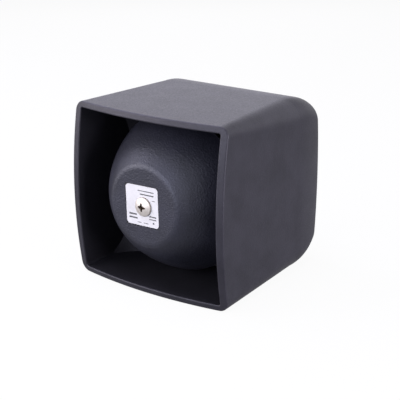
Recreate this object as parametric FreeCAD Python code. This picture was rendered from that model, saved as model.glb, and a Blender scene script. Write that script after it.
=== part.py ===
import FreeCAD, Part
import math
import os

os.makedirs("parts", exist_ok=True)
Vector = FreeCAD.Vector

# Outer body: a nearly square tube with a crowned rim and a rounded, crowned rear
body_width = 152.5
body_height = 150.0
body_depth = 144.9          # corners of the rim to the middle of the rear face
rim_side = 6.3              # rim thickness at the left and right
rim_top = 5.05              # rim thickness at the top and bottom
rim_crown_radius = 380.5    # the rim lies on a sphere of this radius
rim_outer_round = 1.4
rim_inner_round = 0.9
front_edge_radius = 8.2     # long edges, at the corners of the rim
waist_edge_radius = 18.9    # long edges, where the tail begins
tail_edge_radius = 13.9     # long edges, at the rear face
tail_run = 43.1             # the walls curve in over this depth
tail_length = 59.7          # half axis of the tail's ellipse, along the depth
rear_margin_side = 10.8     # the rear face is wider than its cover by this at each side
rear_margin_top = 0.65      # and higher by this at the top and bottom
rear_crown_radius = 268.0
rear_edge_round = 3.5
wall = 5.0                  # walls round the driver bay
cut_margin = 1.0            # cutting bodies reach past what they cut by this

# Mouth cavity: a square opening that runs back into a round bowl
cavity_corner_radius = 2.0
cavity_draft = 0.9          # narrowing of the half opening over the cavity's depth
bowl_straight = 17.0        # depth at which the flare turns into the quarter round
flare_clearance = 0.58      # the flare passes the corners of the mouth by this
bulkhead = 4.5              # thickness of the bowl's wall
bay_lead = 18.0             # the bay's corner pockets begin this far before the bowl's floor

# Reflector dome
nose_forward = 9.1          # nose in front of the corners of the rim
dome_nose_radius = 33.07    # where the flank would meet the flat nose
dome_swell = 11.6           # the flank's ellipse is wider than the dome's rim by this
dome_rim_gap = 2.75         # slot between the dome's rim and the mouth's walls
dome_rim_space = 30.0       # from the dome's rim back to the bowl's floor
flank_joint = 0.35          # share of the flank where its two arcs meet
dome_wall = 3.0
inner_setback = 4.0         # straighter inner flank, half way back
shoulder_round = 8.0

# Label plate in its recess
label_width = 32.6
label_height = 33.4
label_thickness = 0.4
label_corner = 3.0
label_recess = 0.5
label_gap = 0.5
label_x = -1.5
label_z = 0.4
label_turn = 1.6            # degrees

# Reflector screw and its insert
screw_radius = 4.0
screw_tip_gap = 1.0
screw_head_rim = 4.5        # the head reaches past the shank by this
screw_head_height = 3.6
screw_edge = 1.1            # straight edge of the head below its dome
cross_reach = 4.6
cross_width = 1.9
cross_depth = 2.6
hole_clearance = 0.35
thread_clearance = 0.05
reflector_insert_wall = 1.2
reflector_insert_length = 13.0

# Tone tube
throat_radius = 9.5
tube_wall = 2.5
tube_flange = 3.5
tube_flange_gap = 2.7       # flange to the driver bosses
tube_flange_width = 6.8
tube_pass_gap = 0.7         # the tube's mouth passes through the spigot's bore
seat_clearance = 0.3
hub_front = 2.0
hub_wall = 2.8
hub_tail = 8.0              # hub behind its insert
spider_set_back = 4.0       # from the hub's front to the tube's mouth
spider_arm_count = 3
spider_arm = 3.0
spider_depth = 12.0

# Driver, from its outside in
plate_radius = 47.5
gasket = 1.0
driver_clearance = 2.5      # the driver passes through the rear opening
driver_rear_space = 13.8    # from the back plate to the cover's seat
cap_length = 14.6
membrane = 0.4
spacer = 2.0
bolt_edge = 5.3             # bolts to the edge of the plates
surround_bolt_gap = 1.35
surround_clamped = 4.8      # width held under the spacer
surround_width = 6.6        # width that moves
roll_radius = 2.5
roll_height = 2.1
roll_clearance = 1.3
lip_width = 1.7
lip_lap = 1.3               # the lip reaches past the edge of the diaphragm's bowl
diaphragm_height = 8.5
chamber = 1.0               # space between diaphragm and phase plug
plug_mouth_share = 0.672    # where the plug's slot opens, as a share of the diaphragm's radius
plug_slot = 2.2
plug_web = 1.6
plug_web_count = 3
top_plate_thickness = 6.0
pole_set_in = 0.5           # from the inside of the lip to the pole
pole_clearance = 0.6
former_wall = 0.25
coil_wall = 0.6
coil_clearance = 0.65
coil_length = 5.2
magnet_bolt_gap = 0.45
magnet_gap_step = 2.0       # the magnet's bore stands back from the gap
magnet_length = 16.0
back_plate_step = 2.0
back_plate_thickness = 6.0

# Driver bolts
bolt_count = 4
bolt_first_angle = 45.0
bolt_radius = 2.5
bolt_head_rim = 1.75
bolt_head_height = 5.0
bolt_socket_radius = 2.2
bolt_socket_depth = 2.6
washer = 1.0
driver_insert_wall = 1.0
driver_insert_length = 5.5
driver_boss_wall = 3.0

# Terminals
block_width = 18.0
block_height = 8.0
block_length = 6.0
tab_width = 6.3
tab_thickness = 0.8
tab_length = 9.0
tab_spacing = 9.0

# Rear cover
cover_set_in = 11.1         # rabbet's floor to the middle of the rear face
cover_seat_width = 8.5
cover_wall = 4.0
cover_pocket_step = 3.5
ring_thickness = 5.0
ring_rim = 4.0
cover_screw_count = 6
cover_screw_edge = 5.1      # screws to the cover's edge
cover_screw_radius = 2.0
cover_screw_length = 14.0
cover_screw_head_rim = 1.8
cover_screw_head_height = 2.5
cover_screw_slot = 1.0
cover_screw_tip_gap = 1.3
cover_bore_depth = 3.5      # cover left under the screw heads
post_wall = 2.6
post_floor = 1.0

# Mounting inserts in the rear face
mount_edge_side = 15.3      # from the sides of the rear face in to the inserts
mount_edge_top = 11.15      # from its top and bottom in to them
mount_set_in = 6.4          # spot faces to the middle of the rear face
mount_thread_radius = 3.4
mount_insert_wall = 1.9
mount_insert_length = 16.0
mount_boss_wall = 3.2
mount_boss_floor = 4.5
spot_margin = 0.5
rib = 3.0

# Cable inlet in the cover
inlet_edge = 16.5           # from the cover's pocket in to the inlet
inlet_set_in = 2.7          # its spot face to the middle of the rear face
inlet_thread_radius = 8.0
inlet_thread_length = 11.0
inlet_pad = 5.0             # cover's thickness under the inlet
inlet_pad_rim = 1.0
inlet_flange_rim = 3.0      # flange and locknut reach past the thread by this
inlet_flange = 4.0
inlet_neck_rim = 0.8
inlet_neck = 6.0
inlet_wall = 2.6
inlet_cap_wall = 1.8
inlet_cap_length = 10.0
inlet_cap_end = 2.0
cable_radius = 3.5
cable_clearance = 1.0
locknut = 4.0

# Places on the body
tail_depth = body_depth - tail_run
cover_seat = body_depth - cover_set_in
mount_face = body_depth - mount_set_in
inlet_seat = body_depth - inlet_set_in
mouth_half_width = body_width / 2 - rim_side
mouth_half_height = body_height / 2 - rim_top

# Radii of the opening behind the driver, its cover and the rear face round them
opening_radius = plate_radius + driver_clearance
cover_radius = opening_radius + cover_seat_width
cover_pocket_radius = opening_radius - cover_pocket_step
cover_screw_circle_radius = cover_radius - cover_screw_edge
cover_screw_head_radius = cover_screw_radius + cover_screw_head_rim
cover_hole_radius = cover_screw_radius + hole_clearance
rear_half_width = cover_radius + rear_margin_side
rear_half_height = cover_radius + rear_margin_top
mount_spacing_x = 2 * (rear_half_width - mount_edge_side)
mount_spacing_z = 2 * (rear_half_height - mount_edge_top)

# Radii of the driver, from its plates in to the pole
bolt_circle_radius = plate_radius - bolt_edge
bolt_hole_radius = bolt_radius + hole_clearance
bolt_head_radius = bolt_radius + bolt_head_rim
driver_insert_radius = bolt_radius + driver_insert_wall
driver_boss_radius = driver_insert_radius + driver_boss_wall
surround_outer_radius = bolt_circle_radius - bolt_hole_radius - surround_bolt_gap
spacer_inner_radius = surround_outer_radius - surround_clamped
surround_inner_radius = spacer_inner_radius - surround_width
dome_lip_inner_radius = surround_inner_radius - lip_width
diaphragm_radius = surround_inner_radius - lip_lap
groove_inner_radius = dome_lip_inner_radius - chamber
plug_mouth_radius = diaphragm_radius * plug_mouth_share
pole_radius = dome_lip_inner_radius - pole_set_in
former_inner_radius = pole_radius + pole_clearance
former_outer_radius = former_inner_radius + former_wall
coil_outer_radius = former_outer_radius + coil_wall
gap_radius = coil_outer_radius + coil_clearance
magnet_radius = bolt_circle_radius - bolt_head_radius - magnet_bolt_gap
magnet_inner_radius = gap_radius + magnet_gap_step
back_plate_radius = magnet_radius - back_plate_step

# Radii of the tone tube, the reflector's screw and the inlet
tube_flange_radius = bolt_circle_radius - driver_boss_radius - tube_flange_gap
tube_spigot_radius = tube_flange_radius - tube_flange_width
tube_mouth_radius = tube_spigot_radius - tube_wall - tube_pass_gap
screw_hole_radius = screw_radius + hole_clearance
screw_head_radius = screw_radius + screw_head_rim
reflector_insert_radius = screw_radius + reflector_insert_wall
hub_radius = reflector_insert_radius + hub_wall
mount_insert_radius = mount_thread_radius + mount_insert_wall
mount_boss_radius = mount_insert_radius + mount_boss_wall
inlet_drop = cover_pocket_radius - inlet_edge
inlet_flange_radius = inlet_thread_radius + inlet_flange_rim
inlet_spot_radius = inlet_flange_radius + inlet_pad_rim
inlet_neck_radius = inlet_thread_radius + inlet_neck_rim
inlet_bore_radius = inlet_thread_radius - inlet_wall
inlet_cap_radius = inlet_neck_radius + inlet_cap_wall

# Depths of the driver, which hangs between the bowl's bulkhead and the cover
driver_length = cap_length + membrane + spacer + top_plate_thickness + magnet_length + back_plate_thickness
bulkhead_back = cover_seat - driver_rear_space - driver_length - gasket - tube_flange
bowl_floor = bulkhead_back - bulkhead
flange_back = bulkhead_back + tube_flange
driver_front = flange_back + gasket
clamp_plane = driver_front + cap_length
spacer_front = clamp_plane + membrane
top_plate_front = spacer_front + spacer
top_plate_back = top_plate_front + top_plate_thickness
magnet_back = top_plate_back + magnet_length
back_plate_back = magnet_back + back_plate_thickness
cover_front = cover_seat + gasket
sphere_radius = (diaphragm_radius ** 2 + diaphragm_height ** 2) / (2 * diaphragm_height)
sphere_centre = clamp_plane - diaphragm_height + sphere_radius
roll_groove = roll_height + roll_clearance

# The bowl and the dome in it
bowl_flare_radius = math.hypot(mouth_half_width, mouth_half_height) + flare_clearance
bowl_curve_radius = bowl_floor - bowl_straight
bay_front = bowl_floor - bay_lead
crown_centre = math.sqrt(rim_crown_radius ** 2 - (body_width ** 2 + body_height ** 2) / 4)
nose_depth = -nose_forward
label_back = nose_depth + label_recess
label_front = label_back - label_thickness
dome_rim_depth = bowl_floor - dome_rim_space
dome_rim_radius = min(mouth_half_width, mouth_half_height) - dome_rim_gap
tube_front = hub_front + spider_set_back

# The flank's ellipse passes through the nose's radius and the rim's
dome_profile_radius = dome_rim_radius + dome_swell
nose_share = math.sqrt(1 - (dome_nose_radius / dome_profile_radius) ** 2)
rim_share = math.sqrt(1 - (dome_rim_radius / dome_profile_radius) ** 2)
dome_profile_length = (dome_rim_depth - nose_depth) / (nose_share - rim_share)
dome_profile_centre = nose_depth + nose_share * dome_profile_length

# The frame's origin lies under the middle of the whole depth, on the underside
axis_z = body_height / 2
front_reach = nose_forward - label_recess + label_thickness + screw_head_height
rear_reach = inlet_seat + inlet_flange + inlet_cap_length
mouth_y = (front_reach - rear_reach) / 2


def point(x, depth, height):
    # Depth runs back from the corners of the rim, height up from the axis
    return Vector(x, mouth_y + depth, axis_z + height)


def cylinder(radius, start, end, x=0.0, height=0.0):
    return Part.makeCylinder(radius, end - start, point(x, start, height), Vector(0, 1, 0))


def ring(outer, inner, start, end):
    return cylinder(outer, start, end).cut(cylinder(inner, start, end))


def block(width, length, height, x, start, middle):
    # A box centred on x and on its height, from its front depth back
    return Part.makeBox(width, length, height, point(x - width / 2, start, middle - height / 2))


def section(depth, half_width, half_height, radius):
    # Closed rounded rectangle across the axis
    w = half_width
    h = half_height
    r = radius
    k = r * (1 - math.sqrt(0.5))
    corners = [
        [(w, h - r), (w - k, h - k), (w - r, h)],
        [(-w + r, h), (-w + k, h - k), (-w, h - r)],
        [(-w, -h + r), (-w + k, -h + k), (-w + r, -h)],
        [(w - r, -h), (w - k, -h + k), (w, -h + r)],
    ]
    edges = []
    for index, corner in enumerate(corners):
        first, middle, last = [point(x, depth, z) for x, z in corner]
        edges.append(Part.Arc(first, middle, last).toShape())
        following = corners[(index + 1) % 4][0]
        edges.append(Part.LineSegment(last, point(following[0], depth, following[1])).toShape())
    return Part.Wire(edges)


def flat_walled(front, back):
    # Body between two sections: four flat walls and four ruled long edges, closed at both ends
    faces = [Part.Face(front), Part.Face(back)]
    for edge, behind in zip(front.Edges, back.Edges):
        if isinstance(edge.Curve, Part.Circle):
            faces.append(Part.makeRuledSurface(edge, behind))
        else:
            corners = edge.Vertexes + behind.Vertexes[::-1] + edge.Vertexes[:1]
            faces.append(Part.Face(Part.makePolygon([corner.Point for corner in corners])))
    shell = Part.makeShell(faces)
    shell.sewShape()
    return Part.makeSolid(shell)


def turned(steps):
    # Revolves a closed profile round the axis; a step is a (radius, depth) corner, or an
    # arc as a list of two such pairs, its middle and its end
    place = steps[0]
    edges = []
    for step in steps[1:]:
        if isinstance(step, tuple):
            edges.append(Part.LineSegment(radial(place), radial(step)).toShape())
            place = step
        else:
            edges.append(Part.Arc(radial(place), radial(step[0]), radial(step[1])).toShape())
            place = step[1]
    if place != steps[0]:
        edges.append(Part.LineSegment(radial(place), radial(steps[0])).toShape())
    face = Part.Face(Part.Wire(edges))
    return face.revolve(point(0, 0, 0), Vector(0, 1, 0), 360)


def radial(pair):
    return point(0, pair[1], pair[0])


def around(shape, count, first=0.0):
    # Copies a shape round the axis; the first lies at an angle from the shape's own
    copies = []
    for index in range(count):
        copy = shape.copy()
        copy.rotate(point(0, 0, 0), Vector(0, -1, 0), first + 360.0 * index / count)
        copies.append(copy)
    return copies


def polar(circle, angle):
    # Place (x, height) on a circle round the axis
    turn = math.radians(angle)
    return circle * math.cos(turn), circle * math.sin(turn)


def bolt_places():
    return [polar(bolt_circle_radius, bolt_first_angle + 360.0 * i / bolt_count)
            for i in range(bolt_count)]


def cover_screw_places():
    return [polar(cover_screw_circle_radius, 360.0 * i / cover_screw_count)
            for i in range(cover_screw_count)]


def mount_places():
    return [(sx * mount_spacing_x / 2, sz * mount_spacing_z / 2) for sx in (-1, 1) for sz in (-1, 1)]


def drill(shape, places, radius, start, end):
    return shape.cut([cylinder(radius, start, end, x, z) for x, z in places])


def only_solid(shape):
    return max(shape.Solids, key=lambda solid: solid.Volume)


# Outer body

def tail_drop(along):
    # How far the tail's ellipse has come in at a depth behind the waist
    return 1 - math.sqrt(1 - (along / tail_length) ** 2)


def tail_section(depth, inset):
    # Section of the tail, drawn in by the same inset on all sides
    along = depth - tail_depth
    drop = tail_drop(along) / tail_drop(tail_run)
    radius = waist_edge_radius + (tail_edge_radius - waist_edge_radius) * along / tail_run - inset
    half_width = body_width / 2 - (body_width / 2 - rear_half_width) * drop - inset
    half_height = body_height / 2 - (body_height / 2 - rear_half_height) * drop - inset
    return section(depth, half_width, half_height, radius)


def tail_loft(inset):
    # The first stations lie close together, so that the tail leaves the walls smoothly,
    # and the last lies behind the rear crown, which cuts it off
    stations = [0.0, 0.05, 0.2, 0.4, 0.6, 0.8, 1.0, 1.1]
    wires = [tail_section(tail_depth + tail_run * station, inset) for station in stations]
    return Part.makeLoft(wires, True, False)


def edge_radius(depth):
    # The long edges widen evenly from the rim to the tail
    return front_edge_radius + (waist_edge_radius - front_edge_radius) * depth / tail_depth


def straight_body(start, inset):
    half_width = body_width / 2 - inset
    half_height = body_height / 2 - inset
    front, back = [section(depth, half_width, half_height, edge_radius(depth) - inset)
                   for depth in (start, tail_depth)]
    return flat_walled(front, back)


def rear_crown(inset):
    radius = rear_crown_radius - inset
    start = point(-body_width, body_depth - rear_crown_radius, 0)
    return Part.makeCylinder(radius, 2 * body_width, start, Vector(1, 0, 0))


def rim_crown():
    return Part.makeSphere(rim_crown_radius, point(0, crown_centre, 0))


def outer_body():
    body = straight_body(-3 * nose_forward, 0.0).fuse(tail_loft(0.0))
    body = only_solid(body.common(rear_crown(0.0)))
    rear = [face for face in body.Faces if isinstance(face.Surface, Part.Cylinder)
            and abs(face.Surface.Radius - rear_crown_radius) < 1e-3]
    body = body.makeFillet(rear_edge_round, rear[0].Edges)
    return only_solid(body.common(rim_crown()))


# Mouth cavity and bowl

def bowl():
    # Straight flare, quarter round and flat floor
    flare = bowl_flare_radius
    reach = bowl_curve_radius * math.sqrt(0.5)
    edge = flare - bowl_curve_radius
    front = -3 * nose_forward
    round_middle = (edge + reach, bowl_straight + reach)
    return turned([(0, front), (flare, front), (flare, bowl_straight), [round_middle, (edge, bowl_floor)],
                   (0, bowl_floor)])


def bowl_back():
    # Rear side of the bulkhead: a cone that keeps the wall outside the quarter round
    radius = bowl_curve_radius + bulkhead
    flare = bowl_flare_radius + bulkhead
    cut = radius * (2 - math.sqrt(2))
    front = -3 * nose_forward
    return turned([(0, front), (flare, front), (flare, bulkhead_back - cut), (flare - cut, bulkhead_back),
                   (0, bulkhead_back)])


def mouth_cavity():
    front = section(-3 * nose_forward, mouth_half_width, mouth_half_height, cavity_corner_radius)
    back = section(bowl_floor + cut_margin, mouth_half_width - cavity_draft,
                   mouth_half_height - cavity_draft, cavity_corner_radius)
    return flat_walled(front, back).common(bowl())


def driver_bay():
    bay = straight_body(bay_front, wall).fuse(tail_loft(wall))
    bay = bay.common(rear_crown(wall))
    clear = cylinder(2 * body_width, bay_front, body_depth)
    return bay.common(clear).cut(bowl_back())


# Sub-parts

def housing_bosses():
    # Driver bosses, cover ring with its posts, and insert bosses with their ribs
    pieces = []
    for x, z in bolt_places():
        pieces.append(cylinder(driver_boss_radius, bowl_floor + bulkhead / 2, driver_front, x, z))
    ring_front = cover_seat - ring_thickness
    pieces.append(ring(cover_radius + seat_clearance + ring_rim, opening_radius, ring_front, body_depth))
    for x, z in cover_screw_places():
        post = cylinder(cover_screw_radius + post_wall, post_front(), cover_seat, x, z)
        pieces.append(post.cut(cylinder(opening_radius, post_front(), cover_seat)))
    start = mount_boss_front()
    for x, z in mount_places():
        pieces.append(cylinder(mount_boss_radius, start, body_depth, x, z))
        pieces.append(mount_rib(start, x, z))
    return pieces


def post_front():
    # The posts close over the tips of the cover's screws
    return cover_screw_seat() - cover_screw_length - cover_screw_tip_gap - post_floor


def mount_boss_front():
    return mount_face - mount_insert_length - mount_boss_floor


def mount_rib(start, x, z):
    # Two webs from a boss out to the side wall and to the top or bottom wall
    side = math.copysign(body_width / 2, x)
    top = math.copysign(body_height / 2, z)
    across = block(abs(side - x), body_depth - start, rib, (side + x) / 2, start, z)
    upright = block(rib, body_depth - start, abs(top - z), x, start, (top + z) / 2)
    return across.fuse(upright)


def horn_housing():
    body = outer_body()
    shell = body.cut(driver_bay())
    bosses = [piece.common(body) for piece in housing_bosses()]
    shell = shell.fuse(bosses)
    shell = shell.cut(mouth_cavity())
    shell = shell.cut(cylinder(tube_spigot_radius + seat_clearance, 0, driver_front))
    shell = shell.cut(cylinder(cover_radius + seat_clearance, cover_seat, 2 * body_depth))
    shell = drill(shell, bolt_places(), driver_insert_radius + thread_clearance,
                  driver_front - driver_insert_length - thread_clearance, driver_front)
    shell = drill(shell, cover_screw_places(), cover_screw_radius + thread_clearance,
                  post_front() + post_floor, cover_seat)
    shell = drill(shell, mount_places(), mount_boss_radius + spot_margin, mount_face, 2 * body_depth)
    shell = drill(shell, mount_places(), mount_insert_radius + thread_clearance,
                  mount_face - mount_insert_length - thread_clearance, mount_face)
    return round_rim(only_solid(shell))


def round_rim(shell):
    rim = [face for face in shell.Faces if isinstance(face.Surface, Part.Sphere)
           and abs(face.Surface.Radius - rim_crown_radius) < 1e-3]
    wires = sorted(rim[0].Wires, key=lambda wire: wire.Length)
    shell = shell.makeFillet(rim_outer_round, wires[-1].Edges)
    rim = [face for face in shell.Faces if isinstance(face.Surface, Part.Sphere)
           and abs(face.Surface.Radius - rim_crown_radius) < 1e-3]
    wires = sorted(rim[0].Wires, key=lambda wire: wire.Length)
    return only_solid(shell.makeFillet(rim_inner_round, wires[0].Edges))


def flank_radius(depth):
    # Radius of the dome's flank at a depth, on its ellipse
    share = (dome_profile_centre - depth) / dome_profile_length
    return dome_profile_radius * math.sqrt(1 - share ** 2)


def flank_arcs(start, end):
    # Two arcs that follow the ellipse, the shorter one near the nose
    joint = start + (end - start) * flank_joint
    stations = [(start + joint) / 2, joint, (joint + end) / 2, end]
    pairs = [(flank_radius(depth), depth) for depth in stations]
    return [pairs[:2], pairs[2:]]


def shoulder_turn():
    # Angle between the flat nose and the flank where they would meet
    slope = dome_profile_radius ** 2 * (dome_profile_centre - nose_depth)
    slope = slope / (dome_profile_length ** 2 * flank_radius(nose_depth))
    return math.pi / 2 - math.atan(slope)


def nose_flat_radius():
    return flank_radius(nose_depth) - shoulder_round * math.tan(shoulder_turn() / 2)


def shoulder_arc():
    # Middle and end of the round that is tangent to the flat nose
    pairs = []
    for turn in (shoulder_turn() / 2, shoulder_turn()):
        across = nose_flat_radius() + shoulder_round * math.sin(turn)
        pairs.append((across, nose_depth + shoulder_round * (1 - math.cos(turn))))
    return pairs


def reflector_dome():
    inner_nose = nose_depth + dome_wall
    middle = (nose_depth + dome_rim_depth) / 2
    outside = turned([(0, nose_depth), (nose_flat_radius(), nose_depth), shoulder_arc()]
                     + flank_arcs(shoulder_arc()[1][1], dome_rim_depth) + [(0, dome_rim_depth)])
    inside = turned([(0, inner_nose), (nose_flat_radius(), inner_nose),
                     (flank_radius(middle) - inner_setback, middle),
                     (flank_radius(dome_rim_depth) - dome_wall, dome_rim_depth), (0, dome_rim_depth)])
    dome = outside.cut(inside).fuse(cylinder(hub_radius, inner_nose - dome_wall / 2, hub_front))
    dome = dome.cut(label_prism(label_gap, nose_depth - cut_margin, label_back))
    dome = dome.cut(cylinder(screw_hole_radius, 2 * nose_depth, hub_front))
    return only_solid(dome)


def label_prism(gap, start, end):
    wire = section(start, label_width / 2 + gap, label_height / 2 + gap, label_corner + gap)
    prism = Part.Face(wire).extrude(Vector(0, end - start, 0))
    prism.rotate(point(0, 0, 0), Vector(0, -1, 0), label_turn)
    prism.translate(Vector(label_x, 0, label_z))
    return prism


def label_plate():
    return label_prism(0.0, label_front, label_back).cut(cylinder(screw_hole_radius, label_front, label_back))


def reflector_screw():
    seat = label_front
    top = seat - screw_head_height
    edge = seat - screw_edge
    rise = edge - top
    dome_radius = (screw_head_radius ** 2 + rise ** 2) / (2 * rise)
    lean = math.asin(screw_head_radius / dome_radius) / 2
    middle = (dome_radius * math.sin(lean), top + dome_radius * (1 - math.cos(lean)))
    head = turned([(0, top), [middle, (screw_head_radius, edge)], (screw_head_radius, seat), (0, seat)])
    for turn in (0, 90):
        head = head.cut(cross_slot(top, turn))
    tip = hub_front + reflector_insert_length - screw_tip_gap
    return head.fuse(cylinder(screw_radius, seat, tip)).removeSplitter()


def cross_slot(top, turn):
    # One tapered wing pair of the cross recess
    bottom = top + cross_depth
    half = cross_width / 2
    outline = [point(-cross_reach, top - cut_margin, -half), point(cross_reach, top - cut_margin, -half),
               point(half, bottom, -half), point(-half, bottom, -half)]
    slot = Part.Face(Part.makePolygon(outline + outline[:1])).extrude(Vector(0, 0, cross_width))
    slot.rotate(point(0, 0, 0), Vector(0, 1, 0), turn)
    return slot


def reflector_insert():
    return ring(reflector_insert_radius, screw_radius + thread_clearance, hub_front,
                hub_front + reflector_insert_length)


def tube_radius(depth):
    # Exponential growth from the throat to the tube's mouth
    share = (flange_back - depth) / (flange_back - tube_front)
    return throat_radius * (tube_mouth_radius / throat_radius) ** share


def tube_bore():
    # One arc through the growth at both ends and half way
    middle = (tube_front + flange_back) / 2
    return turned([(0, tube_front), (tube_mouth_radius, tube_front),
                   [(tube_radius(middle), middle), (throat_radius, flange_back)], (0, flange_back)])


def tone_tube():
    mouth = tube_mouth_radius + tube_wall
    skin = turned([(0, tube_front), (mouth, tube_front), (tube_radius(bowl_floor) + tube_wall, bowl_floor),
                   (0, bowl_floor)])
    body = skin.fuse([cylinder(tube_spigot_radius, bowl_floor, bulkhead_back),
                      cylinder(tube_flange_radius, bulkhead_back, flange_back)])
    body = body.cut(tube_bore())
    arm = block(spider_arm, spider_depth, mouth, 0, tube_front, mouth / 2)
    arms = [piece.common(skin) for piece in around(arm, spider_arm_count)]
    hub_length = reflector_insert_length + hub_tail
    hub = turned([(0, hub_front), (hub_radius, hub_front), (hub_radius, hub_front + hub_length * 0.6),
                  (hub_radius / 3, hub_front + hub_length), (0, hub_front + hub_length)])
    body = body.fuse(arms + [hub])
    socket = cylinder(reflector_insert_radius + thread_clearance, hub_front,
                      hub_front + reflector_insert_length + thread_clearance)
    return only_solid(body.cut(socket))


def throat_gasket():
    return ring(tube_flange_radius, throat_radius, flange_back, driver_front)


def chamber_sphere(extra):
    # Sphere of the diaphragm's front face, grown by the extra
    return Part.makeSphere(sphere_radius + extra, point(0, sphere_centre, 0))


def throat_cone(start_radius, mouth_radius):
    # Widens evenly from the driver's front to the chamber's sphere, and reaches into it
    length = sphere_centre - math.sqrt((sphere_radius + chamber) ** 2 - mouth_radius ** 2) - driver_front
    reach = length + cut_margin
    end_radius = start_radius + (mouth_radius - start_radius) * reach / length
    return Part.makeCone(start_radius, end_radius, reach, point(0, driver_front, 0), Vector(0, 1, 0))


def driver_cap():
    cap = cylinder(plate_radius, driver_front, clamp_plane)
    cap = cap.cut(chamber_sphere(chamber)).cut(throat_cone(throat_radius, plug_mouth_radius))
    cap = cap.cut(ring(spacer_inner_radius, groove_inner_radius, clamp_plane - roll_groove, clamp_plane))
    return only_solid(drill(cap, bolt_places(), bolt_hole_radius, driver_front, clamp_plane))


def phase_plug():
    throat = throat_cone(throat_radius, plug_mouth_radius)
    bulb = throat_cone(throat_radius / 6, plug_mouth_radius - plug_slot)
    length = cap_length - diaphragm_height
    reach = throat_radius + plug_mouth_radius
    web = block(plug_web, length, reach, 0, driver_front + length * 0.3, reach / 2)
    webs = [piece.common(throat) for piece in around(web, plug_web_count)]
    return only_solid(bulb.fuse(webs).cut(chamber_sphere(chamber)))


def diaphragm():
    half_space = cylinder(diaphragm_radius, driver_front, clamp_plane + membrane)
    shell = chamber_sphere(0.0).cut(chamber_sphere(-membrane)).common(half_space)
    lip = ring(surround_inner_radius, dome_lip_inner_radius, clamp_plane, spacer_front)
    return only_solid(shell.fuse(lip).removeSplitter())


def surround():
    middle = (surround_inner_radius + spacer_inner_radius) / 2
    inner = middle - roll_radius
    outer = middle + roll_radius
    front = clamp_plane
    back = spacer_front
    return turned([(surround_inner_radius, front), (inner, front), (middle, front - roll_height),
                   (outer, front), (surround_outer_radius, front), (surround_outer_radius, back),
                   (outer, back), (middle, back - roll_height), (inner, back), (surround_inner_radius, back)])


def coil_former():
    return ring(former_outer_radius, former_inner_radius, spacer_front, coil_middle() + coil_length / 2)


def coil_middle():
    return (top_plate_front + top_plate_back) / 2


def voice_coil():
    start = coil_middle() - coil_length / 2
    return ring(coil_outer_radius, former_outer_radius, start, start + coil_length)


def diaphragm_gasket():
    seal = ring(plate_radius, surround_outer_radius + seat_clearance, clamp_plane, spacer_front)
    return drill(seal, bolt_places(), bolt_hole_radius, clamp_plane, spacer_front)


def diaphragm_spacer():
    plate = ring(plate_radius, spacer_inner_radius, spacer_front, top_plate_front)
    return drill(plate, bolt_places(), bolt_hole_radius, spacer_front, top_plate_front)


def top_plate():
    plate = ring(plate_radius, gap_radius, top_plate_front, top_plate_back)
    return drill(plate, bolt_places(), bolt_hole_radius, top_plate_front, top_plate_back)


def magnet():
    return ring(magnet_radius, magnet_inner_radius, top_plate_back, magnet_back)


def back_plate():
    disc = cylinder(back_plate_radius, magnet_back, back_plate_back)
    rim = [edge for edge in disc.Edges if edge.BoundBox.YMin > mouth_y + back_plate_back - 1e-3]
    disc = disc.makeChamfer(back_plate_thickness / 4, rim)
    return disc.fuse(cylinder(pole_radius, top_plate_front, magnet_back)).removeSplitter()


def terminal_place():
    # Height of the block's middle, between the magnet and the plate's edge
    return (magnet_radius + plate_radius) / 2


def terminal_block():
    body = block(block_width, block_length, block_height, 0, top_plate_back, terminal_place())
    upright = [edge for edge in body.Edges if abs(edge.BoundBox.YLength - block_length) < 1e-3]
    return body.makeFillet(block_height / 8, upright)


def terminals():
    tabs = []
    for side in (-1, 1):
        tab = block(tab_width, tab_length, tab_thickness, side * tab_spacing / 2,
                    top_plate_back + block_length, terminal_place())
        tabs.append(tab)
    return Part.Compound(tabs)


def driver_bolts():
    head_front = top_plate_back + washer
    tip = driver_front - driver_insert_length
    bolts = []
    for x, z in bolt_places():
        bolt = cylinder(bolt_radius, tip, head_front, x, z)
        bolt = bolt.fuse(cylinder(bolt_head_radius, head_front, head_front + bolt_head_height, x, z))
        socket_front = head_front + bolt_head_height - bolt_socket_depth
        bolts.append(only_solid(bolt.cut(hexagon(bolt_socket_radius, socket_front, bolt_socket_depth, x, z))))
    return Part.Compound(bolts)


def hexagon(radius, start, length, x=0.0, height=0.0, turn=0.0):
    # Six-sided prism along the axis, sized across its corners
    corners = []
    for index in range(7):
        dx, dz = polar(radius, turn + 60.0 * index)
        corners.append(point(x + dx, start, height + dz))
    return Part.Face(Part.makePolygon(corners)).extrude(Vector(0, length, 0))


def driver_bolt_washers():
    washers = []
    for x, z in bolt_places():
        plate = cylinder(bolt_head_radius, top_plate_back, top_plate_back + washer, x, z)
        washers.append(plate.cut(cylinder(bolt_hole_radius, top_plate_back, top_plate_back + washer, x, z)))
    return Part.Compound(washers)


def driver_inserts():
    start = driver_front - driver_insert_length
    bore = bolt_radius + thread_clearance
    sleeves = []
    for x, z in bolt_places():
        sleeve = cylinder(driver_insert_radius, start, driver_front, x, z)
        sleeves.append(sleeve.cut(cylinder(bore, start, driver_front, x, z)))
    return Part.Compound(sleeves)


def cover_screw_seat():
    return cover_front + cover_bore_depth


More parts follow.
